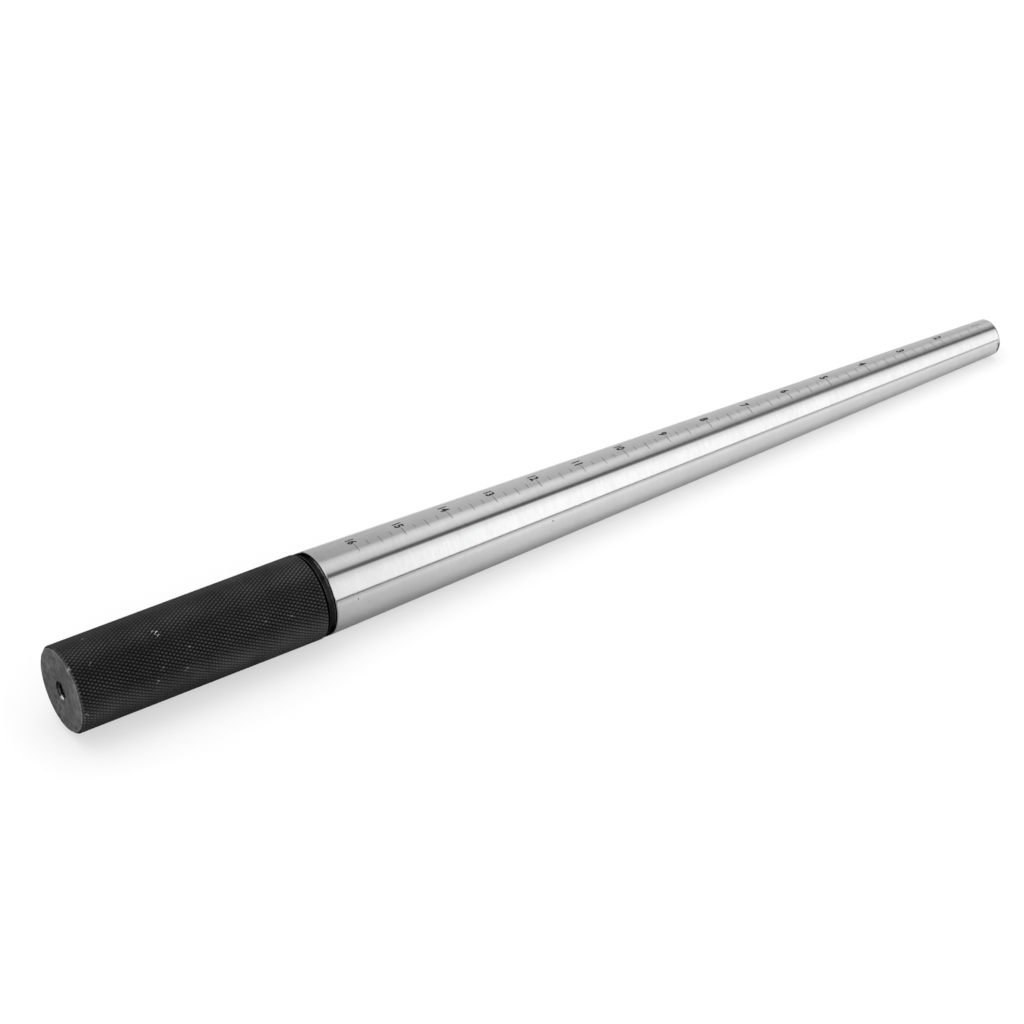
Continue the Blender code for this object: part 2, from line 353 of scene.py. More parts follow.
def oxide_face():
    """The handle's turned end face: matt grey-black with faint tool marks round its hole."""
    m, nt, bsdf = nodes_of("black_oxide_turned")
    net = Net(nt)
    at, x, y, z, r = net.place()
    rings = net.noise(net.join(r, net.math("MULTIPLY", y, 0.02), net.math("MULTIPLY", z, 0.02)), 2600, 2.0, 0.6)
    grain = net.noise(at, 2400, 4.0, 0.62)
    patch = net.noise(at, 150, 4.0, 0.62)
    tone = net.math("ADD", net.math("MULTIPLY", rings, 0.35), net.math("MULTIPLY", grain, 0.65))
    base = net.mix(net.span(tone, 0.32, 0.68, 0.0, 1.0), (0.076, 0.076, 0.078), (0.150, 0.150, 0.151))
    blotch = net.noise(at, 620, 3.0, 0.65)
    base = net.mix(net.span(patch, 0.42, 0.60, 0.0, 0.85), base, (0.180, 0.179, 0.178))
    base = net.mix(net.span(blotch, 0.58, 0.38, 0.0, 0.66), base, (0.030, 0.030, 0.031))
    # two small dents in the face, drawn only as near-black spots of painted shade
    for dent_phi, dent_r, size in ((-165.8, 10.3, 0.00042), (132.0, 11.0, 0.00050)):
        _, dy_, dz_ = around(0.0, dent_r * MM, math.radians(dent_phi))
        a, b = net.math("SUBTRACT", y, dy_), net.math("SUBTRACT", z, dz_)
        far = net.math("SQRT", net.math("ADD", net.math("MULTIPLY", a, a), net.math("MULTIPLY", b, b)))
        far = net.math("ADD", far, net.span(grain, 0.3, 0.7, -0.00015, 0.00015))
        base = net.mix(net.span(far, size * 1.25, size * 0.75, 0.0, 0.92), base, (0.010, 0.010, 0.010))
    wear = net.node("ShaderNodeAttribute", attribute_name="wear").outputs["Fac"]
    rub = net.math("MULTIPLY", wear, net.span(grain, 0.30, 0.6, 0.4, 1.0), clamp=True)
    net.put(bsdf.inputs["Base Color"], net.mix(rub, base, (0.55, 0.55, 0.55)))
    net.put(bsdf.inputs["Metallic"], net.math("ADD", net.math("MULTIPLY", rub, 0.6), 0.3, clamp=True))
    net.put(bsdf.inputs["Roughness"], net.span(tone, 0.3, 0.7, 0.46, 0.62))
    net.put(bsdf.inputs["Normal"], net.bump(tone, 0.35, 0.00004))
    return m


def thread_steel():
    """Cut threads: semi bright steel, with painted shade darkening the roots."""
    m, nt, bsdf = nodes_of("cut_thread")
    net = Net(nt)
    at, x, y, z, r = net.place()
    n = net.noise(net.join(net.math("MULTIPLY", x, 0.15), y, z), 2600, 3.0, 0.6)
    # painted shade: the thread roots darker than the crests
    deep = net.span(r, 0.00245, 0.00280, 0.0, 1.0)
    bright = net.mix(net.span(n, 0.3, 0.7, 0.0, 1.0), (0.055, 0.055, 0.055), (0.16, 0.16, 0.16))
    shade = net.mix(net.math("MULTIPLY", deep, 0.7), bright, (0.03, 0.029, 0.028))
    # painted glint: a bright steel patch on the lower side of the lead-in, where the glint falls
    bright_share = net.math("MULTIPLY", net.span(z, -0.0022, -0.0024, 0.0, 1.0), net.span(net.math("ABSOLUTE", y), 0.0011, 0.0007, 0.0, 1.0))
    bright_share = net.math("MULTIPLY", bright_share, net.span(x, (X_END + 0.95) * MM, (X_END + 0.80) * MM, 0.0, 1.0))
    net.put(bsdf.inputs["Base Color"], net.mix(bright_share, shade, (0.93, 0.93, 0.93)))
    bsdf.inputs["Metallic"].default_value = 1.0
    net.put(bsdf.inputs["Roughness"], net.math("SUBTRACT", net.span(n, 0.3, 0.7, 0.26, 0.42), net.math("MULTIPLY", bright_share, 0.12)))
    net.put(bsdf.inputs["Normal"], net.bump(n, 0.25, 0.00003))
    return m


def collar_black():
    """Smooth blackened ring with a soft gloss."""
    m, nt, bsdf = nodes_of("black_collar")
    net = Net(nt)
    at, x, y, z, r = net.place()
    turn = net.noise(net.join(x, net.math("MULTIPLY", y, 0.03), net.math("MULTIPLY", z, 0.03)), 3800, 2.0, 0.6)
    grain = net.noise(at, 1500, 3.0, 0.6)
    net.put(bsdf.inputs["Base Color"], net.mix(net.span(grain, 0.3, 0.7, 0.0, 1.0), (0.011, 0.011, 0.012), (0.019, 0.019, 0.020)))
    # painted highlight: the front rounded edge is paler from 4 to 50 degrees round, where a highlight falls, and
    # faintly paler elsewhere; the back rounded edge is a little paler all round
    rag = net.span(grain, 0.3, 0.7, -0.00012, 0.00012)
    turned = net.math("MULTIPLY", net.math("ARCTAN2", net.math("MULTIPLY", y, -1.0), z), 180.0 / math.pi)
    patch = net.math("ADD", net.math("MULTIPLY", net.span(turned, 4.0, 16.0, 0.0, 0.85), net.span(turned, 36.0, 50.0, 1.0, 0.0)), 0.10)
    edge_tone_and_painted_highlight = net.math("MAXIMUM", net.math("MULTIPLY", patch, net.span(net.math("ADD", x, rag), (COLLAR_FRONT - 0.62) * MM, (COLLAR_FRONT - 0.30) * MM, 0.0, 1.0)),
                    net.span(net.math("ADD", x, rag), (COLLAR_BACK + 0.32) * MM, (COLLAR_BACK + 0.16) * MM, 0.0, 0.25))
    base = bsdf.inputs["Base Color"].links[0].from_socket
    net.put(bsdf.inputs["Base Color"], net.mix(net.math("MULTIPLY", edge_tone_and_painted_highlight, net.span(grain, 0.3, 0.6, 0.45, 1.0)), base, (0.34, 0.34, 0.342)))
    bsdf.inputs["Metallic"].default_value = 1.0
    bsdf.inputs["Specular Tint"].default_value = (0.3, 0.3, 0.3, 1.0)
    net.put(bsdf.inputs["Roughness"], net.math("ADD", net.span(turn, 0.3, 0.7, 0.17, 0.26),
                                               net.span(grain, 0.3, 0.7, 0.0, 0.06)))
    net.put(bsdf.inputs["Normal"], net.bump(turn, 0.12, 0.00003))
    return m


def stud_steel():
    m, nt, bsdf = nodes_of("stud_steel")
    net = Net(nt)
    at, x, y, z, r = net.place()
    n = net.noise(net.join(net.math("MULTIPLY", x, 0.2), y, z), 2200, 3.0, 0.6)
    deep = net.span(r, 0.0052, 0.0059, 1.0, 0.0)
    bright = net.mix(net.span(n, 0.3, 0.7, 0.0, 1.0), (0.42, 0.42, 0.43), (0.58, 0.58, 0.58))
    net.put(bsdf.inputs["Base Color"], net.mix(net.math("MULTIPLY", deep, 0.6), bright, (0.16, 0.155, 0.15)))
    bsdf.inputs["Metallic"].default_value = 1.0
    net.put(bsdf.inputs["Roughness"], net.span(n, 0.3, 0.7, 0.3, 0.45))
    net.put(bsdf.inputs["Normal"], net.bump(n, 0.2, 0.00003))
    return m


def pale_floor():
    m, nt, bsdf = nodes_of("pale_floor")
    net = Net(nt)
    at = net.node("ShaderNodeTexCoord").outputs["Object"]
    n = net.noise(at, 900, 2.0, 0.5)
    net.put(bsdf.inputs["Base Color"], net.mix(net.span(n, 0.3, 0.7, 0.0, 1.0), (0.885, 0.885, 0.885), (0.90, 0.90, 0.90)))
    bsdf.inputs["Roughness"].default_value = 0.9
    bsdf.inputs["Specular IOR Level"].default_value = 0.1
    # painted contact shadow for glossy rays: mirrored in the steel, the floor darkens towards the line that the tool
    # lies on
    sep = net.node("ShaderNodeSeparateXYZ")
    net.put(sep.inputs[0], at)
    rise = net.math("MAXIMUM", net.math("SUBTRACT", 12.84, net.math("MULTIPLY", net.math("ADD", sep.outputs[0], 0.091), 26.1)), 4.0)
    off = net.math("DIVIDE", net.math("MULTIPLY", net.math("ABSOLUTE", sep.outputs[1]), 12.84), rise)
    painted_contact_shadow = net.math("ADD", net.span(off, 0.0, 0.020, 0.54, 0.74), net.span(off, 0.020, 0.075, 0.0, 0.18))
    painted_contact_shadow = net.math("ADD", painted_contact_shadow, net.math("MULTIPLY", net.span(sep.outputs[0], 0.02, 0.16, 0.0, 0.20), net.span(off, 0.0, 0.016, 1.0, 0.0)))
    painted_contact_shadow = net.math("ADD", painted_contact_shadow, net.span(off, 0.09, 0.20, 0.0, -0.26))
    painted_contact_shadow = net.math("MULTIPLY", painted_contact_shadow, net.span(sep.outputs[0], -0.06, 0.02, 0.90, 1.0))
    painted_contact_shadow = net.math("MULTIPLY", painted_contact_shadow, net.span(sep.outputs[0], -0.098, -0.084, 0.48, 1.0))
    painted_contact_shadow = net.math("MULTIPLY", painted_contact_shadow, net.span(sep.outputs[1], -0.005, 0.010, 1.0, 0.80))
    floor_with_painted_shadow = net.mix(painted_contact_shadow, (0.0, 0.0, 0.0), (0.95, 0.95, 0.95))
    diffuse = net.node("ShaderNodeBsdfDiffuse")
    net.put(diffuse.inputs[0], floor_with_painted_shadow)
    both = net.node("ShaderNodeMixShader")
    net.put(both.inputs[0], net.node("ShaderNodeLightPath").outputs["Is Glossy Ray"])
    net.put(both.inputs[1], bsdf.outputs[0])
    net.put(both.inputs[2], diffuse.outputs[0])
    # a lit backdrop: the eye sees the contact shadow only faintly
    glow = net.node("ShaderNodeEmission")
    glow.inputs[1].default_value = 1.0
    seen = net.node("ShaderNodeMixShader")
    net.put(seen.inputs[0], net.math("MULTIPLY", net.node("ShaderNodeLightPath").outputs["Is Camera Ray"], 0.55))
    net.put(seen.inputs[1], both.outputs[0])
    net.put(seen.inputs[2], glow.outputs[0])
    net.put(nt.nodes["Material Output"].inputs[0], seen.outputs[0])
    return m


# ------------------------------------------------------------ tapered barrel
def glyph_cutter(text, x_mid, bm_all):
    """One number of the scale as a solid wrapped round the taper. Its top points to
    the tip, and its right hand side to the lines."""
    cu = bpy.data.curves.new("number", "FONT")
    cu.body = text
    cu.size = 1.0
    cu.space_character = 1.04
    cu.extrude = 0.5
    cu.offset = 0.044
    cu.resolution_u = 5
    ob = bpy.data.objects.new("number", cu)
    bpy.context.scene.collection.objects.link(ob)
    deps = bpy.context.evaluated_depsgraph_get()
    deps.update()
    me = bpy.data.meshes.new_from_object(ob.evaluated_get(deps))
    bpy.data.objects.remove(ob)
    bpy.data.curves.remove(cu)
    bm = bmesh.new()
    bm.from_mesh(me)
    bpy.data.meshes.remove(me)
    bmesh.ops.remove_doubles(bm, verts=bm.verts[:], dist=1e-4)
    xs = [v.co.x for v in bm.verts]
    ys = [v.co.y for v in bm.verts]
    tall = 2.95 / (max(ys) - min(ys))
    wide = tall * 0.80
    right, middle = max(xs), 0.5 * (max(ys) + min(ys))
    for v in bm.verts:
        arc = (v.co.x - right) * wide + 0.12
        x = x_mid + (v.co.y - middle) * tall
        base = taper(x)
        v.co = around(x, base - 0.13 if v.co.z < 0 else base + 0.5, arc / base)
    bmesh.ops.triangulate(bm, faces=bm.faces[:])
    bmesh.ops.recalc_face_normals(bm, faces=bm.faces[:])
    if bm.calc_volume(signed=True) < 0.0:
        bmesh.ops.reverse_faces(bm, faces=bm.faces[:])
    me = bpy.data.meshes.new("number")
    bm.to_mesh(me)
    bm.free()
    bm_all.from_mesh(me)
    bpy.data.meshes.remove(me)


def line_cutter(x_mid, width, end, bm_all):
    bm = bmesh.new()
    bmesh.ops.create_cube(bm, size=1.0)
    along = [e for e in bm.edges if abs(e.verts[0].co.y - e.verts[1].co.y) > 0.5]
    bmesh.ops.subdivide_edges(bm, edges=along, cuts=9)
    for v in bm.verts:
        deep = v.co.z < 0
        x = x_mid + v.co.x * width * (0.72 if deep else 1.0)
        base = taper(x)
        t = v.co.y + 0.5
        arc = LINE_START + t * (end - LINE_START)
        v.co = around(x, base - 0.085 if deep else base + 0.05, arc / base)
    if bm.calc_volume(signed=True) < 0.0:
        bmesh.ops.reverse_faces(bm, faces=bm.faces[:])
    me = bpy.data.meshes.new("line")
    bm.to_mesh(me)
    bm.free()
    bm_all.from_mesh(me)
    bpy.data.meshes.remove(me)


def pit_cutter(x, phi_deg, size, depth, bm_all):
    """A small irregular dent or casting pit in the ground surface."""
    bm = bmesh.new()
    bmesh.ops.create_icosphere(bm, subdivisions=2, radius=1.0)
    phi0 = math.radians(phi_deg)
    for v in bm.verts:
        wob = 1.0 + 0.16 * math.sin(5.0 * v.co.x + 3.0 * phi_deg) + 0.12 * math.sin(7.0 * v.co.y + x)
        xx = x + v.co.x * size * wob
        base = taper(x)
        v.co = around(xx, base + v.co.z * depth, phi0 + v.co.y * size * 0.8 * wob / base)
    bmesh.ops.recalc_face_normals(bm, faces=bm.faces[:])
    if bm.calc_volume(signed=True) < 0.0:
        bmesh.ops.reverse_faces(bm, faces=bm.faces[:])
    me = bpy.data.meshes.new("pit")
    bm.to_mesh(me)
    bm.free()
    bm_all.from_mesh(me)
    bpy.data.meshes.remove(me)


PITS = [(-80.86, 78.3, 0.26, 0.10), (-12.53, 78.6, 0.30, 0.11), (55.2, 97.0, 0.12, 0.05),
        (-45.7, -118.0, 0.16, 0.06), (96.4, -150.0, 0.18, 0.07)]


def make_barrel(mats):
    steps = 288
    edge = []
    n = 10
    for i in range(n + 1):
        t = math.radians(90.0 * i / n)
        x = X_TIP - TIP_ROUND + TIP_ROUND * math.cos(t)
        edge.append((x, taper(x) - TIP_ROUND + TIP_ROUND * math.sin(t)))
    back_r = taper(BARREL_BACK)
    bore_end = STUD_FRONT + BORE_SPARE
    profile = [
        (X_TIP - CENTRE_DEPTH, 0.0),
        (X_TIP - CENTRE_DEPTH + 0.5, CENTRE_PILOT_R),
        (X_TIP - CENTRE_CONE_LEN, CENTRE_PILOT_R),
        (X_TIP - 0.12, CENTRE_MOUTH_R - 0.07),
        (X_TIP, CENTRE_MOUTH_R + 0.08),
    ] + edge
    # a ring midway between each pair of lines, so that one band holds one line
    x = SIZE16_X + 15 * SIZE_PITCH + SIZE_PITCH / 8
    while x > BARREL_BACK + 1.5:
        if x < X_TIP - TIP_ROUND - 0.5:
            profile.append((x, taper(x)))
        x -= SIZE_PITCH / 4
    c = BARREL_BACK + BACK_CHAMFER
    profile += [
        (c + 0.08, taper(c + 0.08)),
        (c - 0.06, taper(c) - 0.05),
        (BARREL_BACK, back_r - BACK_CHAMFER),
        (BARREL_BACK, BORE_R + 0.6),
        (BARREL_BACK + 0.6, BORE_R),
        (bore_end, BORE_R),
        (bore_end + BORE_R * DRILL, 0.0),
    ]
    ob = store("mandrel_barrel_ground", lathe(profile, steps), mats)

    cut_bm = bmesh.new()
    for q in range((SIZE_COUNT - 1) * 4 + 1):
        size = 1.0 + q / 4.0
        xm = SIZE16_X + (SIZE_COUNT - size) * SIZE_PITCH
        if q % 4 == 0:
            line_cutter(xm, 0.20, WHOLE_END, cut_bm)
            glyph_cutter(str(int(size)), xm, cut_bm)
        else:
            line_cutter(xm, 0.17, HALF_END if q % 2 == 0 else QUARTER_END, cut_bm)
    for p in PITS:
        pit_cutter(*p, cut_bm)
    me = bpy.data.meshes.new("cutters")
    cut_bm.to_mesh(me)
    cut_bm.free()
    cutter = bpy.data.objects.new("cutters", me)
    bpy.context.scene.collection.objects.link(cutter)
    mod = ob.modifiers.new("engrave", "BOOLEAN")
    mod.operation = "DIFFERENCE"
    mod.solver = "EXACT"
    mod.use_self = True
    mod.object = cutter
    me = evaluated(ob)
    bpy.data.objects.remove(cutter)

    # what lies under the ground surface is engraving
    me.shade_smooth()
    me.set_sharp_from_angle(angle=math.radians(32.0))
    nv = len(me.vertices)
    co = np.zeros(nv * 3)
    me.vertices.foreach_get("co", co)
    co = co.reshape(-1, 3)
    rad = np.hypot(co[:, 1], co[:, 2])
    below = taper(co[:, 0]) - rad
    phi = np.arctan2(-co[:, 1], co[:, 2])
    x_lo, x_hi = BARREL_BACK + BACK_CHAMFER + 0.05, X_TIP - TIP_ROUND + 1e-4
    nl = len(me.loops)
    lv = np.zeros(nl, np.int32)
    me.loops.foreach_get("vertex_index", lv)
    normals = np.zeros(nl * 3)
    me.corner_normals.foreach_get("vector", normals)
    normals = normals.reshape(-1, 3)
    cosb = 1.0 / math.hypot(1.0, SLOPE)
    for p in me.polygons:
        ids = lv[p.loop_start:p.loop_start + p.loop_total]
        xs = co[ids, 0]
        b = below[ids]
        if xs.min() >= x_lo and xs.max() <= x_hi and b.max() < 0.004 and p.normal.x < 0.3:
            a = phi[ids]
            normals[p.loop_start:p.loop_start + p.loop_total] = np.stack(
                [np.full(len(ids), SLOPE * cosb), -np.sin(a) * cosb, np.cos(a) * cosb], 1)
            p.material_index = 0
        elif xs.min() > x_lo + 0.4 and xs.max() < x_hi - 0.2 and b.max() < 0.4:
            arc = float(np.mean(phi[ids])) * taper(float(xs.mean()))
            number = arc < LINE_START - 0.12 and arc > -6
            p.material_index = 1 if number else 2
        elif xs.min() > X_TIP - 6.0 and rad[ids].max() < CENTRE_MOUTH_R - 0.02:
            p.material_index = 3
        elif rad[ids].max() < BORE_R + 0.01 and xs.max() < bore_end + 5:
            p.material_index = 3
    me.normals_split_custom_set(normals)
    seat(ob)
    return ob


# -------------------------------------------------------------- collar, stud
def make_collar(mats):
    n = 10
    front = BARREL_BACK - 0.07
    mid, half = 0.5 * (COLLAR_BACK + front), 0.5 * (front - COLLAR_BACK)
    outline = [(front, BORE_R + 0.25), (front, 10.6)]
    for i in range(n + 1):
        t = math.radians(90.0 * i / n)
        outline.append((front - COLLAR_ROUND + COLLAR_ROUND * math.cos(t),
                        COLLAR_R - COLLAR_ROUND + COLLAR_ROUND * math.sin(t)))
    for i in range(n + 1):
        t = math.radians(90.0 * i / n)
        outline.append((COLLAR_BACK + COLLAR_ROUND - COLLAR_ROUND * math.sin(t),
                        COLLAR_R - COLLAR_ROUND + COLLAR_ROUND * math.cos(t)))
    # a slight crown, highest at mid length
    outline = [(x, r - 0.10 * min(1.0, abs(x - mid) / half) ** 2 if r > 11.5 else r) for x, r in outline]
    outline += [(COLLAR_BACK, 10.6), (COLLAR_BACK, BORE_R + 0.25),
                (COLLAR_BACK + 0.25, BORE_R), (front - 0.25, BORE_R)]
    ob = store("collar_ring_black", lathe(outline, 288, closed=True), mats)
    ob.data.shade_smooth()
    ob.data.set_sharp_from_angle(angle=math.radians(30.0))
    seat(ob)
    return ob


def helix(turns_from, turns_to, pitch, sub, steps, x0):
    """A cylinder sheet of radius 1 whose mesh lines follow a thread: the phase
    (x - x0) / pitch - angle / full turn is n + sub on them."""
    bm = bmesh.new()
    q = len(sub)
    grid = {}

    def vert(m, c):
        m, c = (m - steps, c + q) if m >= steps else (m, c)
        if (m, c) not in grid:
            phase = c // q + sub[c % q]
            ang = 2 * math.pi * m / steps
            grid[m, c] = bm.verts.new(around(x0 + pitch * (phase + m / steps), 1.0, ang))
        return grid[m, c]

    for m in range(steps):
        for c in range(turns_from * q, turns_to * q):
            bm.faces.new([vert(m, c), vert(m + 1, c), vert(m + 1, c + 1), vert(m, c + 1)])
    return bm


def cut_at(bm, x, keep):
    """Splits the sheet at place x, and drops what lies on its other side."""
    bmesh.ops.bisect_plane(
        bm, geom=bm.verts[:] + bm.edges[:] + bm.faces[:], dist=1e-6,
        plane_co=(x, 0, 0), plane_no=(1, 0, 0),
        clear_outer=keep == "low", clear_inner=keep == "high")


def saw(phase, minor, major, flat_minor, rise, flat_major):
    """Thread profile: radius at a phase from 0 to 1."""
    p = phase % 1.0
    if p < flat_minor:
        return minor
    if p < flat_minor + rise:
        return minor + (major - minor) * (p - flat_minor) / rise
    if p < flat_minor + rise + flat_major:
        return major
    return major - (major - minor) * (p - flat_minor - rise - flat_major) / (1 - flat_minor - rise - flat_major)


def make_stud(mats):
    """M12 x 1.75 stud with chamfered ends. Its crests are as wide as its CAD solid."""
    pitch, minor, major = 1.75, 5.08, STUD_R
    sub = (0.0, 0.16, 0.50, 0.66)
    x0 = STUD_BACK
    turns = int((STUD_FRONT - STUD_BACK) / pitch) + 3
    bm = helix(-2, turns, pitch, sub, 64, x0)
    cut_at(bm, STUD_BACK, "high")
    cut_at(bm, STUD_FRONT, "low")
    for x in (STUD_BACK + 0.5, STUD_BACK + STUD_CHAMFER, STUD_FRONT - 0.5, STUD_FRONT - STUD_CHAMFER):
        cut_at(bm, x, "both")
    for v in bm.verts:
        x = v.co.x
        phi = math.atan2(-v.co.y, v.co.z) % (2 * math.pi)
        r = saw((x - x0) / pitch - phi / (2 * math.pi), minor, major, 0.16, 0.34, 0.16)
        r = min(r, STUD_R - STUD_CHAMFER - 0.05 + (x - STUD_BACK), STUD_R - STUD_CHAMFER - 0.05 + (STUD_FRONT - x))
        v.co = around(x, r, phi)
    for x, sign in ((STUD_BACK, 1), (STUD_FRONT, -1)):
        loop = boundary_at(bm, x)
        loop = carry(bm, loop, x, 3.4)
        loop = carry(bm, loop, x + sign * 0.25, 3.2)
        bmesh.ops.triangle_fill(bm, use_beauty=True, use_dissolve=False, edges=loop)
    bmesh.ops.remove_doubles(bm, verts=bm.verts[:], dist=1e-5)
    bmesh.ops.recalc_face_normals(bm, faces=bm.faces[:])
    ob = store("joining_stud_threaded", bm, mats)
    ob.data.shade_smooth()
    ob.data.set_sharp_from_angle(angle=math.radians(30.0))
    seat(ob)
    return ob


# ------------------------------------------------------------ knurled handle
KNURL_N = 70                     # helical grooves of each hand
KNURL_STEP = 1.98                # distance along the tool between turns of one hand
KNURL_DEPTH = 0.40
KNURL_FLANK = 0.435              # share of a cell from groove to crest edge

# worn places on the knurl: x, phi, reach in mm, strength
WORN = [(-141.1, 24.0, 0.95, 1.0), (-141.0, 29.0, 0.75, 0.75), (-141.7, 21.0, 0.75, 0.55), (-167.0, 92.0, 0.8, 0.42),
        (-162.0, 32.0, 0.8, 0.34), (-134.0, 57.0, 0.8, 0.42), (-102.0, 67.0, 0.8, 0.38), (-159.5, -11.0, 0.8, 0.34),
        (-143.0, 70.0, 0.8, 0.36), (-136.0, 83.0, 0.8, 0.38), (-145.0, 86.0, 0.8, 0.38), (-110.0, 62.0, 0.8, 0.32),
        (-128.0, 150.0, 1.4, 0.5), (-127.0, 156.0, 1.0, 0.35), (-150.0, -120.0, 1.3, 0.6), (-151.2, -114.0, 0.9, 0.4),
        (-112.0, -75.0, 1.1, 0.5), (-163.5, -96.0, 0.9, 0.4), (-100.5, 170.0, 0.9, 0.4), (-120.5, -140.0, 0.8, 0.3)]
# dents in the rim of the end face: phi, width in mm, depth in mm, bare metal showing
NICKS = [(-165.8, 0.55, 0.16, 0.0), (132.0, 0.75, 0.20, 0.0), (29.0, 0.45, 0.08, 0.34), (96.0, 0.5, 0.10, 0.1),
         (-72.0, 0.6, 0.12, 0.2), (-128.0, 0.5, 0.10, 0.0)]


def knurl_radius(x, phi):
    turn = KNURL_N * phi / (2 * math.pi)
    along = (x - X_END) / KNURL_STEP
    a, b = turn + along, turn - along
    ta, tb = abs(a - round(a)), abs(b - round(b))
    t = min(ta, tb)
    return HANDLE_R - (KNURL_DEPTH * (1 - t / KNURL_FLANK) if t < KNURL_FLANK else 0.0)


def end_edge(x, phi):
    """Radius allowed by the chamfers of both ends, with the rim's dents."""
    r = min(HANDLE_R - END_CHAMFER + (x - X_END), HANDLE_R - FRONT_CHAMFER + (HANDLE_FRONT - x))
    if x < X_END + 2.0:
        for deg, wide, deep, bright_share in NICKS:
            d = (phi - math.radians(deg) + math.pi) % (2 * math.pi) - math.pi
            d *= HANDLE_R / wide
            if abs(d) < 1.6:
                r -= deep * max(0.0, 1 - abs(d)) * max(0.0, 1 - (x - X_END) / 1.2)
    return r


def cell_hash(i, j, k=0):
    h = math.sin(i * 127.1 + j * 311.7 + k * 74.7) * 43758.5453
    return h - math.floor(h)


def make_handle(mats):
    bm = bmesh.new()
    sub = (0.0, KNURL_FLANK, 1.0 - KNURL_FLANK)
    span = 3 * KNURL_N
    grid = {}

    def vert(A, B):
        shift = (A // span) * span
        A, B = A - shift, B - shift
        if (A, B) not in grid:
            a = A // 3 + sub[A % 3]
            b = B // 3 + sub[B % 3]
            x = X_END + KNURL_STEP * (a - b) / 2
            phi = 2 * math.pi * (a + b) / 2 / KNURL_N
            grid[A, B] = bm.verts.new(around(x, HANDLE_R, phi))
        return grid[A, B]

    k_to = int((HANDLE_FRONT - X_END) / (KNURL_STEP / 2)) + 2
    for i in range(KNURL_N):
        for k in range(-2, k_to):
            j = i - k
            for p in range(3):
                for q in range(3):
                    A, B = 3 * i + p, 3 * j + q
                    v = [vert(A, B), vert(A + 1, B), vert(A + 1, B + 1), vert(A, B + 1)]
                    if p == 1 or q == 1:
                        bm.faces.new(v)
                    elif p == q:          # corner cells mitre towards the crest
                        bm.faces.new([v[0], v[1], v[2]])
                        bm.faces.new([v[0], v[2], v[3]])
                    else:
                        bm.faces.new([v[0], v[1], v[3]])
                        bm.faces.new([v[1], v[2], v[3]])
    cut_at(bm, X_END, "high")
    cut_at(bm, HANDLE_FRONT, "low")
    for x in (X_END + 0.25, X_END + 0.50, X_END + 0.62, X_END + 0.73, X_END + END_CHAMFER,
              HANDLE_FRONT - 0.1, HANDLE_FRONT - 0.2, HANDLE_FRONT - FRONT_CHAMFER):
        cut_at(bm, x, "both")
    for v in bm.verts:
        x = v.co.x
        phi = math.atan2(-v.co.y, v.co.z)
        v.co = around(x, min(knurl_radius(x, phi), end_edge(x, phi)), phi)

    # nose, and the blind hole that takes the stud
    loop = boundary_at(bm, HANDLE_FRONT)
    hole_end = STUD_BACK - BORE_SPARE
    for x, r in ((HANDLE_FRONT, NOSE_R + 0.05), (HANDLE_FRONT + 0.05, NOSE_R), (NOSE_X - 0.05, NOSE_R),
                 (NOSE_X, NOSE_R - 0.05), (NOSE_X, BORE_R + 0.5), (NOSE_X - 0.5, BORE_R),
                 (hole_end, BORE_R), (hole_end - (BORE_R - 0.3) * DRILL, 0.3)):
        loop = carry(bm, loop, x, r)
    bmesh.ops.triangle_fill(bm, use_beauty=True, use_dissolve=False, edges=loop)

    # end face in steps down to its hole
    loop = boundary_at(bm, X_END)
    for r in (11.2, 9.0, 6.5, 4.2):
        loop = carry(bm, loop, X_END, r)
    face_loop = loop

    # M6 threaded hole with a small lead-in chamfer
    minor, major, mouth = 2.44, 2.80, 2.86
    sub = (0.0, 0.25, 0.5625, 0.6875)
    th = helix(-2, 18, 1.0, sub, 60, X_END)
    deep = X_END + 13.6
    cut_at(th, X_END, "high")
    cut_at(th, deep, "low")
    for x in (X_END + 0.08, X_END + 0.2, X_END + 0.42, X_END + 12.4):
        cut_at(th, x, "both")
    for v in th.verts:
        x = v.co.x
        phi = math.atan2(-v.co.y, v.co.z) % (2 * math.pi)
        r = saw((x - X_END) - phi / (2 * math.pi), minor, major, 0.25, 0.3125, 0.125)
        fade = min(1.0, max(0.0, (deep - x) / 1.2))
        r = minor + (r - minor) * fade
        r = max(r, mouth - (x - X_END))
        v.co = around(x, r, phi)
    loop = boundary_at(th, deep)
    for x, r in ((X_END + END_HOLE_DEPTH, minor), (X_END + END_HOLE_DEPTH + (minor - 0.2) * DRILL, 0.2)):
        loop = carry(th, loop, x, r)
    bmesh.ops.triangle_fill(th, use_beauty=True, use_dissolve=False, edges=loop)
    me = bpy.data.meshes.new("thread")
    th.to_mesh(me)
    th.free()
    mark = bm.faces.layers.int.new("thread")
    before = len(bm.faces)
    bm.from_mesh(me)
    bpy.data.meshes.remove(me)
    bm.faces.ensure_lookup_table()
    for f in bm.faces[before:]:
        f[mark] = 1
    loop = boundary_at(bm, X_END)
    bmesh.ops.triangle_fill(bm, use_beauty=True, use_dissolve=False, edges=loop)
    bmesh.ops.remove_doubles(bm, verts=bm.verts[:], dist=1e-5)
    bmesh.ops.recalc_face_normals(bm, faces=bm.faces[:])
    open_edges = sum(1 for e in bm.edges if not e.is_manifold)
    print("handle faces", len(bm.faces), "open edges", open_edges)

    # materials: 0 knurl, 1 turned end and nose, 2 thread
    for f in bm.faces:
        c = f.calc_center_median()
        r = math.hypot(c.y, c.z)
        if f[mark]:
            f.material_index = 2
        elif r < 12.2 and c.x < HANDLE_FRONT - 1.0 or c.x < X_END + 0.3 and r < 12.5:
            f.material_index = 1
    ob = store("handle_knurled", bm, mats)
    me = ob.data
    me.shade_smooth()
    me.set_sharp_from_angle(angle=math.radians(24.0))

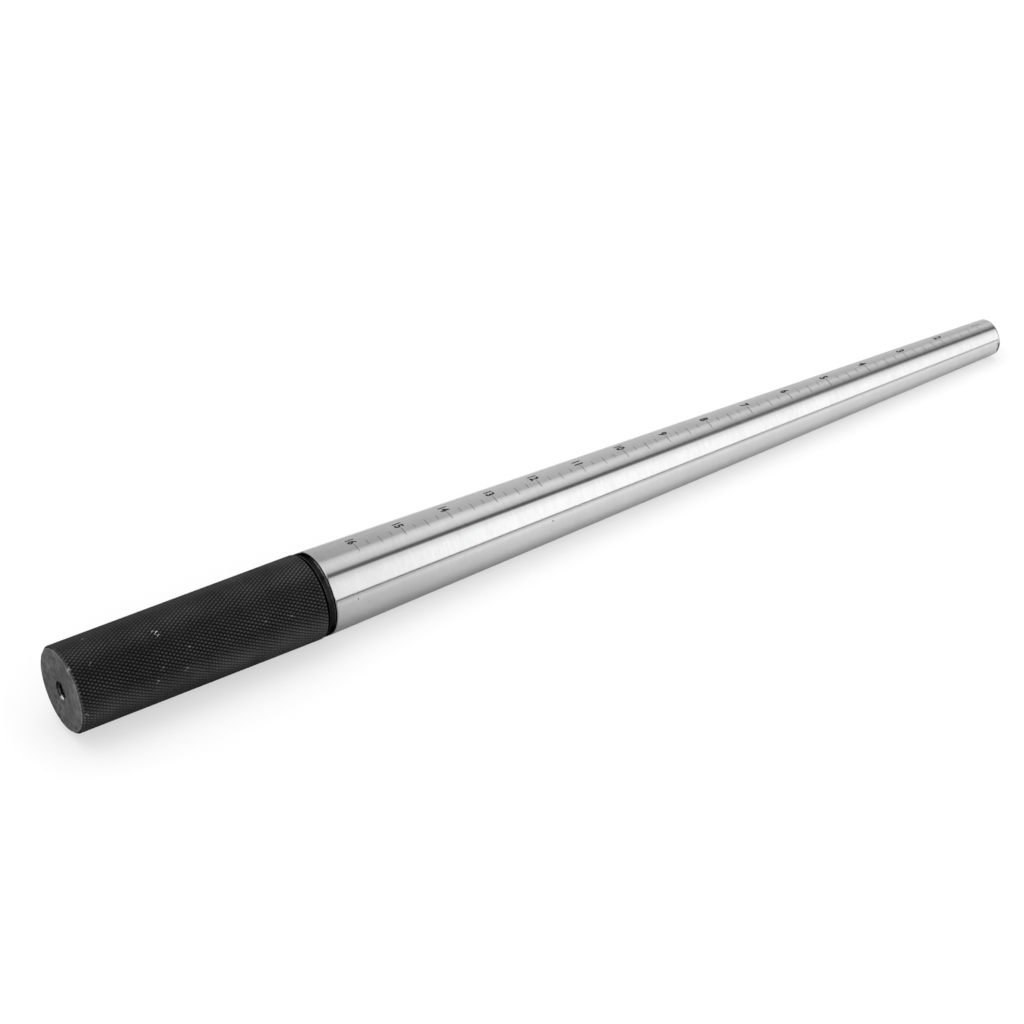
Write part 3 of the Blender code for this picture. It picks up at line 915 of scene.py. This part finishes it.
    # wear, one value for each face: rubbed crests in patches, specks elsewhere
    wear = np.zeros(len(me.polygons), np.float32)
    for p in me.polygons:
        c = p.center
        r = math.hypot(c.y, c.z)
        phi = math.atan2(-c.y, c.z)
        if c.x < X_END + 0.9 and r > 11.9:
            rim = 0.03 + 0.07 * cell_hash(int(phi * 40), 11) if c.x < X_END + 0.75 else 0.0
            for deg, wide, deep, bright_share in NICKS:
                d = abs((phi - math.radians(deg) + math.pi) % (2 * math.pi) - math.pi) * HANDLE_R
                if d < wide:
                    rim = bright_share
            wear[p.index] = rim
            continue
        if p.material_index != 0 or c.x > HANDLE_FRONT - 0.05:
            continue
        crest = r > HANDLE_R - 0.12
        turn = KNURL_N * (phi % (2 * math.pi)) / (2 * math.pi)
        along = (c.x - X_END) / KNURL_STEP
        i, j = math.floor(turn + along), math.floor(turn - along)
        value = 0.0
        for wx, wphi, reach, strength in WORN:
            d = abs((phi - math.radians(wphi) + math.pi) % (2 * math.pi) - math.pi) * HANDLE_R
            q = math.hypot(c.x - wx, d) / reach
            if q < 1.0 and (crest or q < 0.75 and r > HANDLE_R - 0.22):
                value = max(value, strength * (1.05 - 0.55 * q))
        if not crest:
            wear[p.index] = value
            continue
        if cell_hash(i, j, 3) > 0.985:
            value = max(value, 0.35 * cell_hash(i, j, 5))
        value = max(value, 0.05 * cell_hash(i, j, 7))
        wear[p.index] = min(1.0, value)
    attr = me.attributes.new("wear", "FLOAT", "FACE")
    attr.data.foreach_set("value", wear)
    seat(ob)
    return ob


steel, dark, grey = ground_steel(), engraving_dark(), line_grey()
oxide, face_mat, thread = black_oxide(), oxide_face(), thread_steel()
collar_mat, stud_mat = collar_black(), stud_steel()

barrel = make_barrel([steel, dark, grey, stud_mat])
collar = make_collar([collar_mat])
handle = make_handle([oxide, face_mat, thread])
stud = make_stud([stud_mat])

for piece, node, slot_name in ((barrel, "mandrel_barrel", "ground_steel"),
                               (collar, "collar_ring", "black_collar"),
                               (handle, "knurled_handle", "black_oxide"),
                               (stud, "joining_stud", "stud_steel")):
    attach(piece, "root")
    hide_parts(node)

# ---------------------------------------------------------------- the floor
# the tool lies on the front rim of its knurl and on its tip, so the floor
# leans by the taper's small angle under it
tilt = math.atan2((AXIS_Z - taper(X_TIP - TIP_ROUND)), (X_TIP - TIP_ROUND - HANDLE_FRONT))
floor_bm = bmesh.new()
bmesh.ops.create_grid(floor_bm, x_segments=24, y_segments=24, size=1.0)
floor_me = bpy.data.meshes.new("studio_floor")
for v in floor_bm.verts:
    v.co = Vector((v.co.x * 1.4, v.co.y * 0.93 + 0.48, 0.0))
floor_bm.to_mesh(floor_me)
floor_bm.free()
floor_me.materials.append(pale_floor())
floor = bpy.data.objects.new("studio_floor", floor_me)
bpy.context.scene.collection.objects.link(floor)
floor.matrix_world = (Matrix.Translation((HANDLE_FRONT * MM, 0.0, -0.00003))
                      @ Matrix.Rotation(-tilt, 4, "Y")
                      @ Matrix.Translation((-HANDLE_FRONT * MM, 0.0, 0.0)))

# ------------------------------------------------------------------ lighting
# radiance of the studio round the tool against the angle about its length,
# 0 overhead and 90 towards the viewer: soft boxes, and the dark gap between
STUDIO = [(-180, 0.60), (-124, 0.89),                                   # behind and below: pale room
          (-86, 0.70), (-28, 0.58),                                     # ceiling, duller towards the top
          (-20, 0.90), (-8, 1.05), (4, 0.90), (13, 0.64),               # overhead strip light
          (17.4, 0.10), (19.5, 0.03), (25.2, 0.03),                     # dark gap
          (28.6, 1.00), (46, 1.34), (58, 1.40), (87, 1.40),             # large soft box on the viewer's side
          (88, 0.06), (92, 0.06), (180, 0.60)]
# the same past the tip end of the bench, where the strip light is further back
FAR_END = [(-180, 0.60), (-122, 0.84),
           (-50, 0.62), (-34, 0.79), (-26, 0.77),
           (-8, 0.42), (8, 0.11), (12.5, 0.09),
           (21.5, 0.70), (26.5, 0.96), (46, 1.25), (58, 1.33), (87, 1.35),
           (88, 0.06), (92, 0.06), (180, 0.60)]
world = bpy.data.worlds.new("studio")
world.use_nodes = True
bpy.context.scene.world = world
nt = world.node_tree
nt.nodes.clear()
net = Net(nt)
out = net.node("ShaderNodeOutputWorld")
bg = net.node("ShaderNodeBackground")
sep = net.node("ShaderNodeSeparateXYZ")
net.put(sep.inputs[0], net.node("ShaderNodeTexCoord").outputs["Generated"])
dx, dy, dz = sep.outputs
psi = net.math("MULTIPLY", net.math("ARCTAN2", net.math("MULTIPLY", dy, -1.0), dz), 180.0 / math.pi)
flat = net.math("SQRT", net.math("ADD", net.math("MULTIPLY", dy, dy), net.math("MULTIPLY", dz, dz)))
lean = net.math("DIVIDE", dx, net.math("MAXIMUM", flat, 0.05))
# the overhead box is not square to the tool: its edges drift along the length
drift = net.math("MULTIPLY", net.math("POWER", net.span(lean, 0.54, 0.80, 0.0, 1.0), 1.9), 20.0)
drift = net.math("MULTIPLY", drift, net.span(psi, 4.0, 26.0, 1.0, 0.10))
drift = net.math("MULTIPLY", drift, net.span(psi, 32.0, 44.0, 1.0, 0.0))
drift = net.math("MULTIPLY", drift, net.span(psi, -90.0, -60.0, 0.0, 1.0))


def boxes(stops, angle):
    n = net.node("ShaderNodeValToRGB")
    net.put(n.inputs[0], net.math("ADD", net.math("DIVIDE", angle, 360.0), 0.5))
    cr = n.color_ramp
    cr.interpolation = "LINEAR"
    while len(cr.elements) > 1:
        cr.elements.remove(cr.elements[-1])
    for i, (deg, value) in enumerate(stops):
        e = cr.elements[0] if i == 0 else cr.elements.new(deg / 360.0 + 0.5)
        e.position = deg / 360.0 + 0.5
        e.color = (value / 2, value / 2, value / 2, 1.0)
    return n.outputs[0]


look_up = net.math("ADD", psi, drift)
first = net.math("MULTIPLY", net.span(look_up, -36.0, -26.0, 0.0, 1.0), net.span(look_up, 8.0, 15.0, 1.0, 0.0))
near_box = net.math("MULTIPLY", boxes(STUDIO, look_up),
                    net.math("SUBTRACT", 1.0, net.math("MULTIPLY", first, net.span(lean, 0.50, 0.72, 0.0, 0.15))))
far = net.math("POWER", net.span(lean, 0.64, 0.80, 0.0, 1.0), 1.6)
seen = net.math("ADD", net.math("MULTIPLY", near_box, net.math("SUBTRACT", 1.0, far)),
                net.math("MULTIPLY", boxes(FAR_END, psi), far))
# near the handle the gap is lit a little, and the ceiling behind is duller
fill = net.math("MULTIPLY", net.math("MULTIPLY", net.span(psi, -6.0, 12.0, 0.0, 1.0), net.span(psi, 25.0, 30.0, 1.0, 0.0)),
                net.span(lean, 0.48, 0.55, 0.105, 0.0))
seen = net.math("ADD", seen, fill)
seen = net.math("MULTIPLY", seen, net.math("SUBTRACT", 1.0, net.math("MULTIPLY", net.span(psi, -104.0, -80.0, 1.0, 0.0),
                                                                    net.span(lean, 0.48, 0.56, 0.11, 0.0))))
path = net.node("ShaderNodeLightPath")
net.put(bg.inputs[0], net.mix(path.outputs["Is Camera Ray"], seen, (0.5, 0.5, 0.5)))
window = net.math("MULTIPLY", net.span(psi, -32.0, -24.0, 0.0, 1.0), net.span(psi, 14.0, 24.0, 1.0, 0.0))
strength = net.math("ADD", net.math("MULTIPLY", window, net.span(lean, 0.48, 0.56, 0.40, 0.0)), 2.0)
# the boxes end beyond the tip
net.put(bg.inputs[1], net.math("MULTIPLY", strength, net.span(lean, 1.1, 2.2, 1.0, 0.36)))
net.put(out.inputs[0], bg.outputs[0])


def soft_box(name, at, aim, wide, deep, watts, glossy):
    li = bpy.data.lights.new(name, "AREA")
    li.shape = "RECTANGLE"
    li.size, li.size_y, li.energy = wide, deep, watts
    ob = bpy.data.objects.new(name, li)
    bpy.context.scene.collection.objects.link(ob)
    ob.location = at
    ob.rotation_euler = (Vector(aim) - Vector(at)).to_track_quat("-Z", "Y").to_euler()
    ob.visible_camera = False
    ob.visible_glossy = glossy
    return ob


soft_box("overhead_fill", (0.0, 0.1, 1.5), (0.0, 0.0, 0.0), 2.2, 2.0, 11.5, False)

# ------------------------------------------------------------------- camera
cam_data = bpy.data.cameras.new("camera")
cam_data.lens = 99.59
cam_data.sensor_width = 36.0
cam_data.sensor_fit = "HORIZONTAL"
cam_data.clip_start, cam_data.clip_end = 0.01, 20.0
cam = bpy.data.objects.new("camera", cam_data)
bpy.context.scene.collection.objects.link(cam)
right = Vector((0.82790925, -0.56086208, 0.0))
up = Vector((0.31506609, 0.4650807, 0.82730484))
back = Vector((-0.46400391, -0.68493333, 0.56175324))
m = Matrix.Identity(4)
for c, axis in enumerate((right, up, back)):
    for r_ in range(3):
        m[r_][c] = axis[r_]
m.translation = Vector((-409.408, -574.785, 486.536)) * MM
cam.matrix_world = m
bpy.context.scene.camera = cam

scene = bpy.context.scene
scene.view_settings.view_transform = "Standard"
scene.view_settings.look = "None"
scene.view_settings.exposure = 0.0
scene.view_settings.gamma = 1.0
